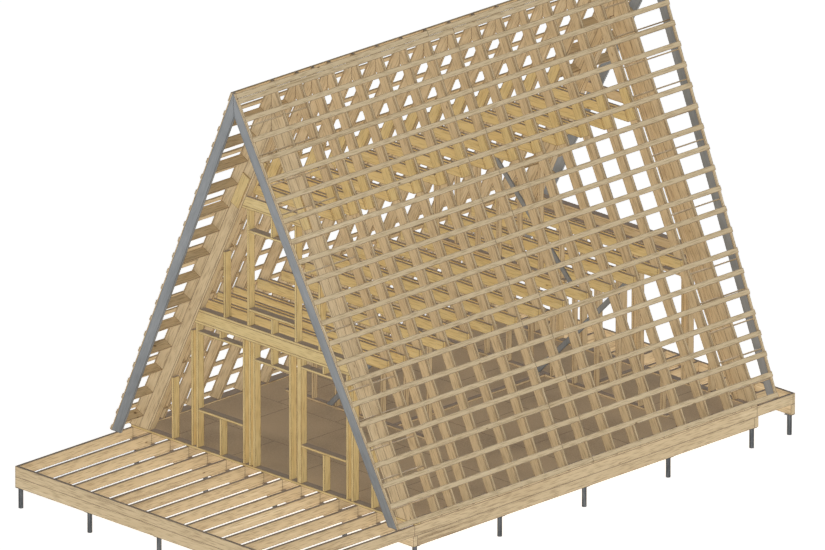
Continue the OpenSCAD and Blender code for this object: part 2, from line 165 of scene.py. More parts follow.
RIGHT_SLOPE = Slope.read(1)
LEFT_SLOPE = Slope.read(-1)
UP = Vector((0, 0, 1))
SIDEWAYS = Vector((1, 0, 0))
BACK = Vector((0, 1, 0))

# For each way that boards run: the way of their grain, and the way across their broad face.
BOARD_AXES = {
    Grain.ACROSS: (SIDEWAYS, UP),
    Grain.ALONG: (BACK, UP),
    Grain.UPRIGHT: (UP, BACK),
    Grain.RIGHT_SLOPE: (RIGHT_SLOPE.down, RIGHT_SLOPE.out),
    Grain.LEFT_SLOPE: (LEFT_SLOPE.down, LEFT_SLOPE.out),
    Grain.BOTH_SLOPES: (RIGHT_SLOPE.down, RIGHT_SLOPE.out),
}


@dataclass(frozen=True)
class EdgeShade:
    """How strongly painted shade and dark lines darken a board's edges and the joins between boards.

    The reach is in metres and the strength from 0 to 1. The painted shade starts and is full at a cosine of
    the turn from the face to the eased edge.
    """

    reach: float = 16 * MM
    strength: float = 0.95
    starts: float = 0.9995
    full: float = 0.985
    samples: int = 4


@dataclass(frozen=True)
class TopShade:
    """How level a face has to be for painted shade to darken it, as the height of its normal: upper faces are
    painted darker to stand in for the dim light that falls on them.
    """

    starts: float = 0.95
    full: float = 0.99


# How far and how strongly painted shade and dark lines reach along edges and joins.
EDGE_SHADE = EdgeShade()
# How level a face must be to take the painted shade on upper faces.
TOP_SHADE = TopShade()


class Wiring:
    """A material's node tree while it is wired."""

    def __init__(self, name: str) -> None:
        """Starts a material with its shader and its Object coordinates.

        Args:
            name: The material's name.
        """
        self.material = bpy.data.materials.new(name)
        self.material.use_nodes = True
        self.nodes = self.material.node_tree.nodes
        self.links = self.material.node_tree.links
        self.surface = self.nodes["Principled BSDF"]
        self.place = self.nodes.new("ShaderNodeTexCoord").outputs["Object"]

    def node(self, kind: str, sockets: dict[Any, Any] | None = None, **settings: Any) -> bpy.types.Node:
        """Adds one node.

        Args:
            kind: The node's type.
            sockets: Input names or numbers, with a value or the output that feeds each.
            settings: The node's own properties.

        Returns:
            The new node.
        """
        made = self.nodes.new(kind)
        for key, value in settings.items():
            setattr(made, key, value)
        for key, value in (sockets or {}).items():
            if isinstance(value, Socket):
                self.links.new(value, made.inputs[key])
            else:
                made.inputs[key].default_value = value
        return made

    def sums(self, operation: str, a: Socket | float, b: Socket | float = 0.0) -> Socket:
        """Returns the result of one Math node."""
        return self.node("ShaderNodeMath", {0: a, 1: b}, operation=operation).outputs[0]

    def blend(self, layers: list[tuple[Socket, float]]) -> Socket:
        """Adds patterns up, each with its own weight.

        Args:
            layers: Each pattern and its weight.

        Returns:
            The output that gives the weighted sum.
        """
        total = None
        for value, weight in layers:
            part = self.sums("MULTIPLY", value, weight)
            total = part if total is None else self.sums("ADD", total, part)
        return total

    def part_of(self, vector: Socket, axis: str) -> Socket:
        """Returns one part of a vector: X, Y or Z."""
        return self.node("ShaderNodeSeparateXYZ", {0: vector}).outputs[axis]

    def folded(self) -> None:
        """Makes the left half of the pattern the mirror of the right half."""
        parts = self.node("ShaderNodeSeparateXYZ", {0: self.place}).outputs
        half = self.sums("ABSOLUTE", parts["X"])
        self.place = self.node("ShaderNodeCombineXYZ", {0: half, 1: parts["Y"], 2: parts["Z"]}).outputs[0]

    def turned(self, axis: Vector, depth: Vector) -> None:
        """Turns the pattern so that its X runs along a board and its Y across the board's face.

        Args:
            axis: The way that the grain runs.
            depth: The way across the board's broad face.
        """
        turn = Matrix((axis, depth, axis.cross(depth)))
        sockets = {"Vector": self.place, "Rotation": turn.to_euler()}
        self.place = self.node("ShaderNodeMapping", sockets).outputs[0]

    def turned_round(self) -> None:
        """Runs the pattern across on faces that look forward or back, and along on all others."""
        start = self.place
        self.turned(*BOARD_AXES[Grain.ALONG])
        along = self.place
        self.place = start
        self.turned(*BOARD_AXES[Grain.ACROSS])
        normal = self.node("ShaderNodeNewGeometry").outputs["Normal"]
        ahead = self.sums("ABSOLUTE", self.part_of(normal, "Y"))
        share = self.sums("GREATER_THAN", ahead, 0.5)
        sockets = {"Factor": share, VECTOR_UNDER: along, VECTOR_OVER: self.place}
        self.place = self.node("ShaderNodeMix", sockets, data_type="VECTOR").outputs[VECTOR_MIXED]

    def run_with(self, grain: Grain) -> None:
        """Lays the pattern along boards that run one way.

        Args:
            grain: The way that the boards run.
        """
        if grain is Grain.ROUND:
            self.turned_round()
            return
        if grain is Grain.BOTH_SLOPES:
            self.folded()
        self.turned(*BOARD_AXES[grain])

    def stretched(self, scale: Scale) -> Socket:
        """Returns the place in a pattern that is scaled along each of its axes."""
        return self.node("ShaderNodeMapping", {"Vector": self.place, "Scale": scale}).outputs[0]

    def noise(self, scale: Scale, detail: float = 2.0) -> Socket:
        """Returns a cloudy pattern from 0 to 1 at a scale along each axis."""
        sockets = {"Vector": self.stretched(scale), "Scale": 1.0, "Detail": detail}
        return self.node("ShaderNodeTexNoise", sockets).outputs[0]

    def spots(self, scale: Scale) -> Socket:
        """Returns the distance to the nearest of many scattered points, at a scale along each axis."""
        sockets = {"Vector": self.stretched(scale), "Scale": 1.0}
        return self.node("ShaderNodeTexVoronoi", sockets).outputs["Distance"]

    def spread(self, value: Socket, low: float, high: float, to: float = 1.0) -> Socket:
        """Returns a value stretched from low..high to 0..to, and held inside it."""
        sockets = {"Value": value, "From Min": low, "From Max": high, "To Max": to}
        return self.node("ShaderNodeMapRange", sockets).outputs[0]

    def ramp(self, value: Socket, stops: dict[float, Colour]) -> Socket:
        """Turns a value into a colour.

        Args:
            value: The output that drives the ramp.
            stops: The screen colour at each place from 0 to 1, in rising order.

        Returns:
            The colour output.
        """
        made = self.node("ShaderNodeValToRGB", {0: value})
        marks = made.color_ramp.elements
        while len(marks) < len(stops):
            marks.new(0.5)
        for mark, (at, colour) in zip(marks, sorted(stops.items())):
            mark.position = at
            mark.color = linear(colour)
        return made.outputs[0]

    def mixed(self, share: Socket, under: Socket, over: Colour | Socket) -> Socket:
        """Lays one colour over another.

        Args:
            share: The output that says how much of the upper colour shows.
            under: The lower colour's output.
            over: The upper colour, as an output or a screen colour.

        Returns:
            The mixed colour's output.
        """
        upper = over if isinstance(over, Socket) else linear(over)
        sockets = {"Factor": share, COLOUR_UNDER: under, COLOUR_OVER: upper}
        return self.node("ShaderNodeMix", sockets, data_type="RGBA").outputs[COLOUR_MIXED]

    def shaded_on_top(self, colour: Socket, dark: Colour, share: float) -> Socket:
        """Darkens the upper faces with painted shade, which stands in for the dim light that falls on them.

        Args:
            colour: The colour of the other faces.
            dark: The screen colour of the painted shade on the upper faces.
            share: How much of the dark shows, from 0 to 1.

        Returns:
            The colour output.
        """
        up = self.part_of(self.node("ShaderNodeNewGeometry").outputs["Normal"], "Z")
        return self.mixed(self.spread(up, TOP_SHADE.starts, TOP_SHADE.full, share), colour, dark)

    def shaded_edges(self, colour: Socket, dark: Colour) -> Socket:
        """Paints shade and dark lines along a board's edges and in the joins where boards meet.

        Args:
            colour: The colour away from the edges.
            dark: The screen colour of the painted edge shade.

        Returns:
            The colour output.
        """
        bevel = self.node("ShaderNodeBevel", {"Radius": EDGE_SHADE.reach}, samples=EDGE_SHADE.samples)
        flat = self.node("ShaderNodeNewGeometry").outputs["Normal"]
        sockets = {0: bevel.outputs[0], 1: flat}
        turn = self.node("ShaderNodeVectorMath", sockets, operation="DOT_PRODUCT").outputs["Value"]
        share = self.spread(turn, EDGE_SHADE.starts, EDGE_SHADE.full, EDGE_SHADE.strength)
        return self.mixed(share, colour, dark)

    def finished(self, colour: Socket, height: Socket, depth: float, roughness: float) -> bpy.types.Material:
        """Joins colour and bump to the shader.

        Args:
            colour: The colour output.
            height: The output that gives the surface's height from 0 to 1.
            depth: The height's full depth in metres.
            roughness: The shader's roughness.

        Returns:
            The finished material.
        """
        bump = self.node("ShaderNodeBump", {"Height": height, "Distance": depth})
        self.links.new(colour, self.surface.inputs["Base Color"])
        self.links.new(bump.outputs[0], self.surface.inputs["Normal"])
        self.surface.inputs["Roughness"].default_value = roughness
        return self.material


@dataclass(frozen=True)
class BoardPattern:
    """How a softwood board's pattern is made up.

    Each scale gives the repeats a metre along the grain, through the board and over its width. The weights
    say how much each layer counts, and low and high hold the weighted sum's useful range. Each pair runs from
    where a mark starts to where it is full.
    """

    tone: Scale = (0.12, 2.3, 4.1)
    rings: Scale = (0.5, 21.0, 27.0)
    lines: Scale = (1.7, 95.0, 120.0)
    dots: Scale = (33.0, 210.0, 210.0)
    tone_weight: float = 0.55
    rings_weight: float = 0.75
    lines_weight: float = 0.7
    dots_weight: float = 0.35
    low: float = 0.78
    high: float = 1.52
    stains: Scale = (0.9, 3.4, 3.4)
    stain_pair: tuple[float, float] = (0.5, 0.68)
    knots: Scale = (1.6, 4.2, 0.6)
    knot_ring_pair: tuple[float, float] = (0.1, 0.055)
    knot_ring_share: float = 0.45
    knot_core_pair: tuple[float, float] = (0.055, 0.03)
    knot_core_share: float = 0.85
    streaks: Scale = (3.6, 52.0, 52.0)
    streak_pair: tuple[float, float] = (0.48, 0.12)
    streak_share: float = 0.62
    bump: float = 0.6 * MM


SOFTWOOD = BoardPattern()


@dataclass(frozen=True)
class Timber:
    """Planed softwood: board tone, growth rings, fine dotted grain, stains, knots and dark streaks, with
    painted shade on upper faces and along edges.
    """

    name: str
    slot: str
    dark: Colour
    main: Colour
    pale: Colour
    stain: Colour
    # The knot colour also serves as the colour of the painted shade along edges and joins.
    knot_and_edge_shade: Colour
    stain_share: float = 0.2
    # Painted shade: upper faces take this darker colour to stand in for the dim light on them.
    top_shade: Colour = (96, 76, 50)
    top_shade_share: float = 0.75
    rear: "Timber | None" = None
    roughness: float = 0.72

    def tones(self) -> dict[float, Colour]:
        """Returns the timber's colours from dark streaks to pale ones."""
        return {0.0: self.dark, 0.38: self.main, 0.7: self.main, 1.0: self.pale}

    def marked(self, wood: Wiring, colour: Socket) -> Socket:
        """Adds stains, knots and streaks.

        Args:
            wood: The material's wiring.
            colour: The colour of the clean board.

        Returns:
            The marked colour's output.
        """
        stain = wood.spread(wood.noise(SOFTWOOD.stains), *SOFTWOOD.stain_pair, self.stain_share)
        colour = wood.mixed(stain, colour, self.stain)
        knots = wood.spots(SOFTWOOD.knots)
        ring = wood.spread(knots, *SOFTWOOD.knot_ring_pair, SOFTWOOD.knot_ring_share)
        colour = wood.mixed(ring, colour, self.stain)
        core = wood.spread(knots, *SOFTWOOD.knot_core_pair, SOFTWOOD.knot_core_share)
        colour = wood.mixed(core, colour, self.knot_and_edge_shade)
        streak = wood.spread(wood.spots(SOFTWOOD.streaks), *SOFTWOOD.streak_pair, SOFTWOOD.streak_share)
        return wood.mixed(streak, colour, self.dark)

    def material(self, grain: Grain) -> bpy.types.Material:
        """Makes the finish for boards that run one way.

        Args:
            grain: The way that the boards run.

        Returns:
            The material.
        """
        wood = Wiring(f"{self.name}_{grain.value}")
        start = wood.place
        wood.run_with(grain)
        lines = wood.noise(SOFTWOOD.lines, 3.0)
        body = wood.blend([
            (wood.noise(SOFTWOOD.tone, 1.0), SOFTWOOD.tone_weight),
            (wood.noise(SOFTWOOD.rings, 3.0), SOFTWOOD.rings_weight),
            (lines, SOFTWOOD.lines_weight),
            (wood.noise(SOFTWOOD.dots, 1.0), SOFTWOOD.dots_weight),
        ])
        share = wood.spread(body, SOFTWOOD.low, SOFTWOOD.high)
        colour = wood.ramp(share, self.tones())
        if self.rear:
            behind = wood.sums("GREATER_THAN", wood.part_of(start, "Y"), 0.0)
            colour = wood.mixed(behind, colour, wood.ramp(share, self.rear.tones()))
        colour = self.marked(wood, colour)
        # Painted shade on the upper faces.
        colour = wood.shaded_on_top(colour, self.top_shade, self.top_shade_share)
        # Painted shade and dark lines along the edges and joins, in the knot colour.
        return wood.finished(wood.shaded_edges(colour, self.knot_and_edge_shade), lines, SOFTWOOD.bump, self.roughness)


@dataclass(frozen=True)
class FloorPanel:
    """Particle-board sheets: fine chips in several browns, with a soft change of tone between sheets."""

    name: str
    slot: str
    dark: Colour
    main: Colour
    pale: Colour
    # The colour of the painted shade along edges and joins.
    edge: Colour
    tone: Scale = (0.7, 0.9, 0.9)
    flakes: Scale = (60.0, 85.0, 60.0)
    chips: Scale = (45.0, 70.0, 45.0)
    tone_weight: float = 0.7
    flakes_weight: float = 0.6
    chips_weight: float = 0.25
    low: float = 0.5
    high: float = 1.05
    bump: float = 0.4 * MM
    roughness: float = 0.8

    def material(self) -> bpy.types.Material:
        """Makes the sheets' finish.

        Returns:
            The material.
        """
        board = Wiring(self.name)
        flakes = board.noise(self.flakes, 3.0)
        mix = board.blend([
            (board.noise(self.tone, 1.0), self.tone_weight),
            (flakes, self.flakes_weight),
            (board.spots(self.chips), self.chips_weight),
        ])
        stops = {0.0: self.dark, 0.5: self.main, 1.0: self.pale}
        # Painted shade along edges and joins.
        colour = board.shaded_edges(board.ramp(board.spread(mix, self.low, self.high), stops), self.edge)
        return board.finished(colour, flakes, self.bump, self.roughness)


@dataclass(frozen=True)
class GreyPaint:
    """Grey paint brushed on planed boards, thin enough for the grain to show."""

    name: str
    slot: str
    dark: Colour
    main: Colour
    pale: Colour
    # The colour of the painted shade along edges and joins.
    edge: Colour
    tone: Scale = (0.4, 3.0, 3.0)
    brush: Scale = (1.5, 80.0, 80.0)
    tone_weight: float = 0.6
    brush_weight: float = 0.5
    low: float = 0.35
    high: float = 0.75
    bump: float = 0.3 * MM
    roughness: float = 0.5

    def material(self, grain: Grain) -> bpy.types.Material:
        """Makes the paint for boards that run one way.

        Args:
            grain: The way that the boards run.

        Returns:
            The material.
        """
        paint = Wiring(f"{self.name}_{grain.value}")
        paint.folded()
        paint.turned(*BOARD_AXES[grain])
        brush = paint.noise(self.brush, 3.0)
        mix = paint.blend([(paint.noise(self.tone), self.tone_weight), (brush, self.brush_weight)])
        stops = {0.0: self.dark, 0.5: self.main, 1.0: self.pale}
        # Painted shade along edges and joins.
        colour = paint.shaded_edges(paint.ramp(paint.spread(mix, self.low, self.high), stops), self.edge)
        return paint.finished(colour, brush, self.bump, self.roughness)


@dataclass(frozen=True)
class Steel:
    """Zinc-coated steel: faint crystals, with stains that run down."""

    name: str
    slot: str
    dark: Colour
    main: Colour
    pale: Colour
    crystals: Scale = (60.0, 60.0, 40.0)
    runs: Scale = (30.0, 30.0, 3.0)
    crystals_weight: float = 0.22
    runs_weight: float = 0.95
    low: float = 0.35
    high: float = 0.95
    bump: float = 0.2 * MM
    metal: float = 0.55
    roughness: float = 0.45

    def material(self) -> bpy.types.Material:
        """Makes the steel's finish.

        Returns:
            The material.
        """
        zinc = Wiring(self.name)
        runs = zinc.noise(self.runs, 3.0)
        mix = zinc.blend([(zinc.spots(self.crystals), self.crystals_weight), (runs, self.runs_weight)])
        stops = {0.0: self.dark, 0.5: self.main, 1.0: self.pale}
        colour = zinc.ramp(zinc.spread(mix, self.low, self.high), stops)
        zinc.surface.inputs["Metallic"].default_value = self.metal
        return zinc.finished(colour, runs, self.bump, self.roughness)


FRAME_TIMBER = Timber(
    "framing_spruce", "frame_timber",
    dark=(120, 98, 68), main=(194, 173, 137), pale=(212, 194, 160), stain=(160, 134, 95), knot_and_edge_shade=(78, 54, 32))
BATTEN_TIMBER = Timber(
    "batten_spruce", "batten_timber",
    dark=(142, 118, 82), main=(208, 188, 152), pale=(226, 208, 175), stain=(184, 157, 114), knot_and_edge_shade=(86, 60, 38),
    stain_share=0.15)
YELLOW_TIMBER = Timber(
    "treated_pine", "yellow_timber",
    dark=(146, 122, 74), main=(200, 178, 126), pale=(216, 196, 148), stain=(188, 156, 98), knot_and_edge_shade=(92, 62, 32),
    stain_share=0.35)
WALL_TIMBER = replace(YELLOW_TIMBER, name="wall_pine", rear=FRAME_TIMBER)
FLOOR_PANEL = FloorPanel(
    "floor_chipboard", "floor_sheet",
    dark=(142, 124, 96), main=(178, 160, 130), pale=(196, 178, 148), edge=(70, 54, 36))
GREY_PAINT = GreyPaint(
    "grey_paint", "grey_board",
    dark=(102, 105, 108), main=(124, 127, 129), pale=(140, 142, 144), edge=(52, 54, 56))
PILE_STEEL = Steel("pile_zinc", "pile_steel", dark=(48, 51, 54), main=(82, 85, 88), pale=(116, 119, 122))
FIXING_STEEL = Steel(
    "fixing_zinc", "pile_steel",
    dark=(120, 122, 124), main=(158, 160, 162), pale=(190, 192, 194))
CAP_STEEL = Steel("cap_zinc", "cap_steel", dark=(20, 22, 24), main=(34, 37, 40), pale=(56, 60, 64))


def nothing_selected() -> None:
    """Leaves nothing selected."""
    bpy.ops.object.select_all(action="DESELECT")


def pick_faces(thing: bpy.types.Object, normal: Vector) -> None:
    """Selects the faces in edit mode that point one way, and no others.

    Args:
        thing: The mesh that is being edited.
        normal: The way that the chosen faces point.
    """
    bpy.ops.mesh.select_all(action="DESELECT")
    mesh = bmesh.from_edit_mesh(thing.data)
    for face in mesh.faces:
        face.select_set(face.normal.dot(normal) > FACING)
    bmesh.update_edit_mesh(thing.data)


def standing(at: Vector, axis: Vector) -> Matrix:
    """Returns the move that sets a fixing's foot at a point with its head along an axis."""
    return Matrix.Translation(at) @ axis.to_track_quat("Z", "Y").to_matrix().to_4x4()


def dress_node(node: str, finish: bpy.types.Material) -> None:
    """Gives a CAD node its finish."""
    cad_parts[node].material_slots[0].material = finish


def joined_copies(
    piece: str,
    master: bpy.types.Object,
    places: list[Matrix],
    finish: bpy.types.Material,
) -> bpy.types.Object:
    """Copies a shape to every place and joins the copies to one piece.

    Args:
        piece: The new piece's name.
        master: The shape at the origin, which is removed.
        places: Where each copy goes.
        finish: The copies' material.

    Returns:
        The finished piece, riding on the building.
    """
    nothing_selected()
    copies = []
    for place in places:
        copy = master.copy()
        copy.data = master.data.copy()
        copy.data.transform(place)
        bpy.context.collection.objects.link(copy)
        copy.select_set(True)
        copies.append(copy)
    bpy.context.view_layer.objects.active = copies[-1]
    bpy.ops.object.join()
    made = bpy.context.object
    made.name = piece
    made.data.materials.append(finish)
    bpy.data.objects.remove(master)
    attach(made, BODY)
    log.info("%s: %d copies", piece, len(copies))
    return made


@dataclass(frozen=True)
class Fixing:
    """A screw or nail of which only the dished head shows. The last three sizes are shares of the head."""

    name: str
    head_w: float
    head_h: float
    sides: int
    sunk: float = 0.5 * MM
    rim: float = 1 / 8
    crown: float = 1 / 5
    dish: float = 1 / 4

    def model(self) -> bpy.types.Object:
        """Models one head at the origin, with its foot a little inside the wood.

        Returns:
            The head.
        """
        nothing_selected()
        bpy.ops.mesh.primitive_cylinder_add(
            vertices=self.sides,
            radius=self.head_w / 2,
            depth=self.head_h + self.sunk,
            location=(0, 0, (self.head_h - self.sunk) / 2))
        head = bpy.context.object
        bpy.ops.object.mode_set(mode="EDIT")
        pick_faces(head, UP)
        bpy.ops.mesh.inset(thickness=self.head_w * self.rim)
        bpy.ops.transform.translate(value=(0, 0, self.head_h * self.crown))
        bpy.ops.mesh.inset(thickness=self.head_w * self.rim)
        bpy.ops.transform.translate(value=(0, 0, -self.head_h * self.dish))
        bpy.ops.object.mode_set(mode="OBJECT")
        bpy.ops.object.transform_apply(location=True, rotation=True, scale=True)
        head.name = self.name
        return head

    def set_out(self, piece: str, places: list[Matrix], finish: bpy.types.Material, slot: str) -> None:
        """Sets one head at every place, as one piece.

        Args:
            piece: The new piece's name.
            places: Where each head goes.
            finish: The heads' material.
            slot: Not used.
        """
        joined_copies(piece, self.model(), places, finish)


@dataclass
class SubAssembly:
    """A part of the cabin whose CAD nodes have their real shape: it gives each one its finish."""

    title: str
    finish: Timber | GreyPaint
    boards: dict[str, Grain]

    def dress(self) -> None:
        """Gives each node the finish whose grain runs along its boards."""
        made: dict[Grain, bpy.types.Material] = {}
        for node, grain in self.boards.items():
            if grain not in made:
                made[grain] = self.finish.material(grain)
            dress_node(node, made[grain])
            log.info("%s: %s dressed in %s, grain %s", self.title, node, self.finish.name, grain.value)

    def build(self, bright: bpy.types.Material) -> None:
        """Adds the sub-assembly's small fixings, where it has any that show.

        Args:
            bright: Not used here.
        """


@dataclass
class Foundation:
    """Screw piles with welded cap plates, each screwed up into the bearer on it."""

    title: str = "foundation"
    screw_in: float = 20 * MM
    screw: Fixing = Fixing("cap_screw", head_w=17 * MM, head_h=6 * MM, sides=6)
    weld_r: float = 5 * MM
    weld_steps: int = 24
    weld_sides: int = 8
    weld_flat: float = 0.8
    weld_rough: float = 0.8 * MM
    weld_seed: int = 3
    piles_apart: float = 0.3

    def centres(self) -> list[Vector]:
        """Finds the piles.

        Returns:
            The middle of each pile's top, under its cap plate.
        """
        corners = vertices_of("pile_caps")
        low = min(c.z for c in corners)
        rows = middles(c.y for c in corners)
        return [Vector((x, y, low)) for x in middles(c.x for c in corners) for y in rows]

    def dress(self) -> None:
        """Gives the tubes and the plates their steel."""
        dress_node("pile_tubes", PILE_STEEL.material())
        dress_node("pile_caps", CAP_STEEL.material())
        log.info("%s: pile_tubes and pile_caps dressed", self.title)

    def build(self, bright: bpy.types.Material) -> None:
        """Models the caps' screws and the weld round each tube's top.

        Args:
            bright: The steel of the screws and welds.
        """
        caps = bands(c.x for c in vertices_of("pile_caps"))
        reach = (caps[1] - caps[0]) / 2 - self.screw_in
        offsets = [Vector((sx * reach, sy * reach, 0)) for sx in (-1, 1) for sy in (-1, 1)]
        places = [standing(c + offset, -UP) for c in self.centres() for offset in offsets]
        self.screw.set_out("cap_plate_screws", places, bright, CAP_STEEL.slot)
        self.weld(bright)

    def weld(self, bright: bpy.types.Material) -> None:
        """Models the weld beads under the cap plates, flattened and a little uneven.

        Args:
            bright: The steel of the beads.
        """
        tubes = vertices_of("pile_tubes")
        first = min(c.x for c in tubes)
        tube_w = max(c.x for c in tubes if c.x - first < self.piles_apart) - first
        nothing_selected()
        bpy.ops.mesh.primitive_torus_add(
            major_segments=self.weld_steps,
            minor_segments=self.weld_sides,
            major_radius=tube_w / 2,
            minor_radius=self.weld_r)
        bead = bpy.context.object
        bpy.ops.object.mode_set(mode="EDIT")
        bpy.ops.mesh.select_all(action="SELECT")
        bpy.ops.transform.resize(value=(1, 1, self.weld_flat))
        bpy.ops.transform.vertex_random(offset=self.weld_rough, seed=self.weld_seed)
        bpy.ops.object.mode_set(mode="OBJECT")
        bpy.ops.object.shade_smooth()
        places = [Matrix.Translation(centre) for centre in self.centres()]
        joined_copies("pile_top_welds", bead, places, bright)


@dataclass
class FloorFrame(SubAssembly):
    """Bearers, deck, hall floor and porch, with the hall's floor sheets."""

    title: str = "floor frame"
    finish: Timber = FRAME_TIMBER
    boards: dict[str, Grain] = field(default_factory=lambda: {
        "cross_bearers": Grain.ACROSS,
        "side_bearers": Grain.ALONG,
        "deck_rims": Grain.ROUND,
        "deck_joists": Grain.ALONG,
        "hall_rims": Grain.ROUND,
        "hall_joists": Grain.ALONG,
        "porch_rims": Grain.ROUND,
        "porch_joists": Grain.ALONG,
        "sole_plates": Grain.ALONG,
    })

    def dress(self) -> None:
        """Dresses the boards and the sheets on them."""
        super().dress()
        dress_node("floor_sheets", FLOOR_PANEL.material())


@dataclass
class RoofFrame(SubAssembly):
    """Rafters, counter battens, the gables' rungs and the rafters inside the gables."""

    title: str = "roof frame"
    finish: Timber = FRAME_TIMBER
    boards: dict[str, Grain] = field(default_factory=lambda: {
        "left_rafters": Grain.LEFT_SLOPE,
        "right_rafters": Grain.RIGHT_SLOPE,
        "left_counter_battens": Grain.LEFT_SLOPE,
        "right_counter_battens": Grain.RIGHT_SLOPE,
        "left_gable_rungs": Grain.ALONG,
        "right_gable_rungs": Grain.ALONG,
        "gable_inner_rafters": Grain.BOTH_SLOPES,
        "gable_raked_plates": Grain.BOTH_SLOPES,
    })


@dataclass
class Battens(SubAssembly):
    """Roof battens and barge strips, with a screw wherever a batten crosses a rafter."""

    title: str = "battens"
    finish: Timber = BATTEN_TIMBER
    boards: dict[str, Grain] = field(default_factory=lambda: {
        "left_roof_battens": Grain.ALONG,
        "right_roof_battens": Grain.ALONG,
        "front_barge_strips": Grain.BOTH_SLOPES,
        "rear_barge_strips": Grain.BOTH_SLOPES,
    })
    screw: Fixing = Fixing("batten_screw", head_w=11 * MM, head_h=2.2 * MM, sides=8)

    def build(self, bright: bpy.types.Material) -> None:
        """Models one head wherever a batten crosses a rafter.

        Args:
            bright: The screws' steel.
        """
        for slope, side in ((RIGHT_SLOPE, "right"), (LEFT_SLOPE, "left")):
            battens = [corner - slope.foot for corner in vertices_of(f"{side}_roof_battens")]
            outer = max(c.dot(slope.out) for c in battens)
            rafters = middles(c.y for c in vertices_of(f"{side}_rafters"))
            places = []
            for row in middles(c.dot(slope.down) for c in battens):
                at = slope.foot + slope.down * row + slope.out * outer
                places += [standing(Vector((at.x, y, at.z)), slope.out) for y in rafters]
            self.screw.set_out(f"{side}_batten_screws", places, bright, PILE_STEEL.slot)


@dataclass
class Ties(SubAssembly):
    """Splice plates on the rafters' joints and pairs of collars, with their nails."""

    title: str = "splices and collars"
    finish: Timber = YELLOW_TIMBER
    boards: dict[str, Grain] = field(default_factory=lambda: {
        "rafter_splices": Grain.BOTH_SLOPES,
        "loft_collars": Grain.ACROSS,
        "high_collars": Grain.ACROSS,
    })
    splice_rows: int = 6
    splice_in: float = 35 * MM
    collar_rows: int = 3
    collar_columns: int = 3
    collar_step: float = 60 * MM
    loft_in: float = 75 * MM
    high_in: float = 150 * MM
    splice_nail: Fixing = Fixing("splice_nail", head_w=9 * MM, head_h=1.2 * MM, sides=8)
    collar_nail: Fixing = Fixing("collar_nail", head_w=9 * MM, head_h=1.2 * MM, sides=8)

    def build(self, bright: bpy.types.Material) -> None:
        """Models the nails of the splices and of both rows of collars.

        Args:
            bright: The nails' steel.
        """
        self.nail_splices(bright)
        self.nail_collars("loft_collars", "loft_collar_nails", self.loft_in, bright)
        self.nail_collars("high_collars", "high_collar_nails", self.high_in, bright)

    def nail_splices(self, bright: bpy.types.Material) -> None:
        """Models two lines of nails on the outer face of every splice plate.

        Args:
            bright: The nails' steel.
        """
        corners = vertices_of("rafter_splices")
        rafters = bands(c.y for node in ("right_rafters", "gable_inner_rafters") for c in vertices_of(node))
        places = []
        for low, high in pairs(bands(c.y for c in corners)):
            plate = [c for c in corners if abs(c.y - low) < MM and c.x > 0]
            # A plate is in front of its rafter where its rear face meets one.
            in_front = any(abs(high - y) < MM for y in rafters)
            face = low if in_front else high
            way = -BACK if in_front else BACK
            for slope in (RIGHT_SLOPE, LEFT_SLOPE):
                spots = self.splice_spots(plate, slope)
                places += [standing(Vector((at.x, face, at.z)), way) for at in spots]
        self.splice_nail.set_out("splice_nails", places, bright, PILE_STEEL.slot)

    def splice_spots(self, plate: list[Vector], slope: Slope) -> list[Vector]:
        """Lays out the nails of one splice plate.

        Args:
            plate: The corners of the plate, as on the right slope.
            slope: The slope that the plate is on.

        Returns:
            The nails' places, with the height and the sideways place right.
        """
        spots = [Vector((slope.side * c.x, c.y, c.z)) - slope.foot for c in plate]
        along = sorted(s.dot(slope.down) for s in spots)
        depth = sorted(s.dot(slope.out) for s in spots)
        start = along[0] + self.splice_in
        step = (along[-1] - self.splice_in - start) / (self.splice_rows - 1)
        lines = (depth[0] + self.splice_in, depth[-1] - self.splice_in)
        return [
            slope.foot + slope.down * (start + row * step) + slope.out * line
            for row in range(self.splice_rows)
            for line in lines
        ]

    def nail_collars(self, collars: str, piece: str, from_end: float, bright: bpy.types.Material) -> None:
        """Models a square group of nails at each end of every collar's outer face.

        Args:
            collars: The collars' node.
            piece: The nails' piece.
            from_end: From a collar's longest edge to the outer column of nails.
            bright: The nails' steel.
        """
        low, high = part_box(collars)
        bottom = (low.z + high.z - (self.collar_rows - 1) * self.collar_step) / 2
        heights = [bottom + row * self.collar_step for row in range(self.collar_rows)]
        columns = [high.x - from_end - column * self.collar_step for column in range(self.collar_columns)]
        # Two collars hold a rafter between them, so the outer faces are the first and last of each four.
        faces = bands(c.y for c in vertices_of(collars))
        places = []
        for front, back in zip(faces[::4], faces[3::4]):
            for y, way in ((front, -BACK), (back, BACK)):
                places += [
                    standing(Vector((side * x, y, z)), way)
                    for side in (-1, 1)
                    for x in columns
                    for z in heights
                ]
        self.collar_nail.set_out(piece, places, bright, PILE_STEEL.slot)


@dataclass
class GableWalls(SubAssembly):
    """The framed end walls: yellow in front, and grey-brown at the rear."""

    title: str = "gable walls"
    finish: Timber = WALL_TIMBER
    boards: dict[str, Grain] = field(default_factory=lambda: {
        "gable_floor_plates": Grain.ACROSS,
        "gable_studs": Grain.UPRIGHT,
        "gable_sills_and_heads": Grain.ACROSS,
        "gable_cripples": Grain.UPRIGHT,
        "gable_head_plates": Grain.ACROSS,
        "gable_beams": Grain.ACROSS,
        "loft_wall_plates": Grain.ACROSS,
        "loft_wall_studs": Grain.UPRIGHT,
        "loft_wall_sills": Grain.ACROSS,
        "loft_wall_cripples": Grain.UPRIGHT,
    })


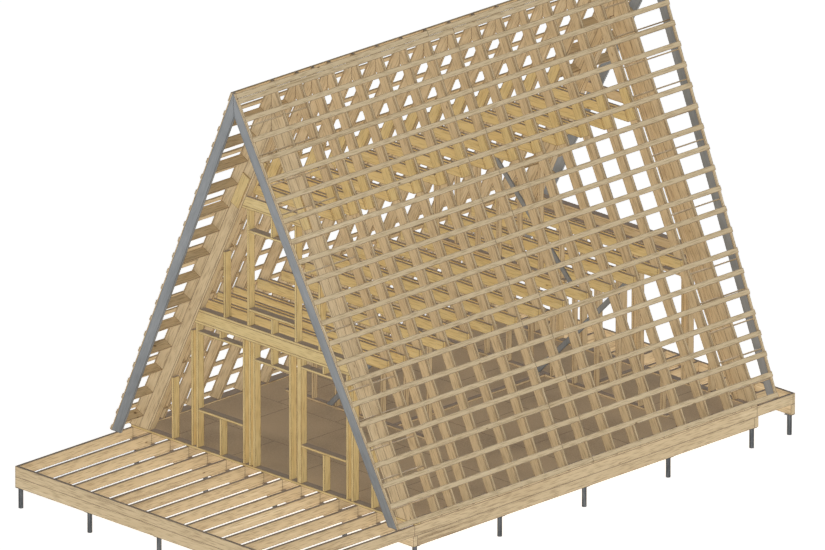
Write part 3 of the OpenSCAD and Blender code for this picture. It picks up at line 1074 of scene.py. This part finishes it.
@dataclass
class Partitions(SubAssembly):
    """The framed walls inside, below and in the loft."""

    title: str = "partitions"
    finish: Timber = FRAME_TIMBER
    boards: dict[str, Grain] = field(default_factory=lambda: {
        "partition_floor_plates": Grain.ACROSS,
        "partition_studs": Grain.UPRIGHT,
        "loft_partition_plate": Grain.ACROSS,
        "loft_partition_studs": Grain.UPRIGHT,
    })


@dataclass
class GreyBoards(SubAssembly):
    """Barge boards and braces under grey paint."""

    title: str = "grey boards"
    finish: GreyPaint = GREY_PAINT
    boards: dict[str, Grain] = field(default_factory=lambda: {
        "front_barge_boards": Grain.BOTH_SLOPES,
        "rear_barge_boards": Grain.BOTH_SLOPES,
        "partition_braces": Grain.UPRIGHT,
    })


@dataclass(frozen=True)
class Light:
    """One broad light from far off. Its angles are in degrees."""

    name: str
    azimuth: float
    elevation: float
    strength: float
    fills: float
    shadow: bool


LIGHTS = (
    Light("front_key", azimuth=42.0, elevation=3.0, strength=2.1, fills=20.0, shadow=False),
    Light("back_key", azimuth=222.0, elevation=3.0, strength=2.1, fills=20.0, shadow=False),
    Light("soft_shade", azimuth=75.0, elevation=35.0, strength=0.3, fills=50.0, shadow=True),
)


@dataclass(frozen=True)
class Studio:
    """A plain pale floor, soft light from both sides, and the camera."""

    view_azimuth: float = 45.05
    view_elevation: float = 19.89
    view_width: float = 14.678
    target: tuple[float, float, float] = (0.0, 0.144, 3.678)
    lens: float = 1090.0
    sensor: float = 36.0
    nearest: float = 1.0
    floor_half: float = 300.0
    floor_glow: float = 0.8
    floor_cloud: Scale = (0.2, 0.2, 0.2)
    floor_dark: Colour = (244, 244, 243)
    floor_pale: Colour = (250, 250, 249)
    floor_bump: float = 0.1 * MM
    floor_roughness: float = 0.9
    white: Colour = (252, 252, 252)
    seen: float = 1.1
    ambient: float = 0.1

    def towards(self, azimuth: float, elevation: float) -> Vector:
        """Gives a way by its angles.

        Args:
            azimuth: The side, in degrees from the front towards the right.
            elevation: The height above the horizon, in degrees.

        Returns:
            The unit vector from the cabin that way.
        """
        side = math.radians(azimuth)
        height = math.radians(elevation)
        level = math.cos(height)
        return Vector((math.sin(side) * level, -math.cos(side) * level, math.sin(height)))

    def camera(self) -> None:
        """Makes the camera, far off behind a long lens so that parallel lines stay parallel."""
        away = self.view_width * self.lens / self.sensor
        data = bpy.data.cameras.new("camera")
        data.lens = self.lens
        data.sensor_width = self.sensor
        data.clip_start = self.nearest
        data.clip_end = 2 * away
        camera = bpy.data.objects.new("camera", data)
        back = self.towards(self.view_azimuth, self.view_elevation)
        camera.location = Vector(self.target) + back * away
        camera.rotation_euler = back.to_track_quat("Z", "Y").to_euler()
        bpy.context.collection.objects.link(camera)
        bpy.context.scene.camera = camera

    def sun(self, light: Light) -> None:
        """Adds one broad light.

        Args:
            light: The light's place, strength and softness.
        """
        data = bpy.data.lights.new(light.name, "SUN")
        data.energy = light.strength
        data.angle = math.radians(light.fills)
        data.use_shadow = light.shadow
        lamp = bpy.data.objects.new(light.name, data)
        lamp.rotation_euler = self.towards(light.azimuth, light.elevation).to_track_quat("Z", "Y").to_euler()
        bpy.context.collection.objects.link(lamp)

    def floor(self) -> None:
        """Makes the pale floor that the piles stand on."""
        nothing_selected()
        bpy.ops.mesh.primitive_plane_add(size=2 * self.floor_half, location=(0, 0, -MM))
        floor = bpy.context.object
        floor.name = "studio_floor"
        pale = Wiring("studio_floor")
        cloud = pale.noise(self.floor_cloud, 1.0)
        colour = pale.ramp(cloud, {0.0: self.floor_dark, 1.0: self.floor_pale})
        pale.surface.inputs["Emission Color"].default_value = linear(self.white)
        pale.surface.inputs["Emission Strength"].default_value = self.floor_glow
        floor.data.materials.append(pale.finished(colour, cloud, self.floor_bump, self.floor_roughness))

    def surround(self) -> None:
        """Makes the white surround, which lights the cabin less than it shows."""
        world = bpy.data.worlds.new("studio")
        world.use_nodes = True
        nodes = world.node_tree.nodes
        links = world.node_tree.links
        shown = nodes["Background"]
        lit = nodes.new("ShaderNodeBackground")
        for light, strength in ((shown, self.seen), (lit, self.ambient)):
            light.inputs["Color"].default_value = linear(self.white)
            light.inputs["Strength"].default_value = strength
        choice = nodes.new("ShaderNodeMixShader")
        links.new(nodes.new("ShaderNodeLightPath").outputs["Is Camera Ray"], choice.inputs[0])
        links.new(lit.outputs[0], choice.inputs[1])
        links.new(shown.outputs[0], choice.inputs[2])
        links.new(choice.outputs[0], nodes["World Output"].inputs["Surface"])
        bpy.context.scene.world = world

    def build(self) -> None:
        """Builds the floor, the lights and the camera."""
        self.floor()
        self.camera()
        for light in LIGHTS:
            self.sun(light)
        self.surround()
        bpy.context.scene.view_settings.view_transform = "Standard"
        log.info("studio built")


def note_sizes() -> None:
    """Brings the view layer up to date.
    """
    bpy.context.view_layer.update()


def main() -> None:
    """Builds and dresses each sub-assembly in order."""
    logging.basicConfig(level=logging.INFO, format="%(name)s: %(message)s")
    Studio().build()
    bright = FIXING_STEEL.material()
    parts = (Foundation, FloorFrame, RoofFrame, Battens, Ties, GableWalls, Partitions, GreyBoards)
    for part in (kind() for kind in parts):
        part.dress()
        part.build(bright)
        log.info("%s finished", part.title)
    note_sizes()


if __name__ == "__main__":
    main()
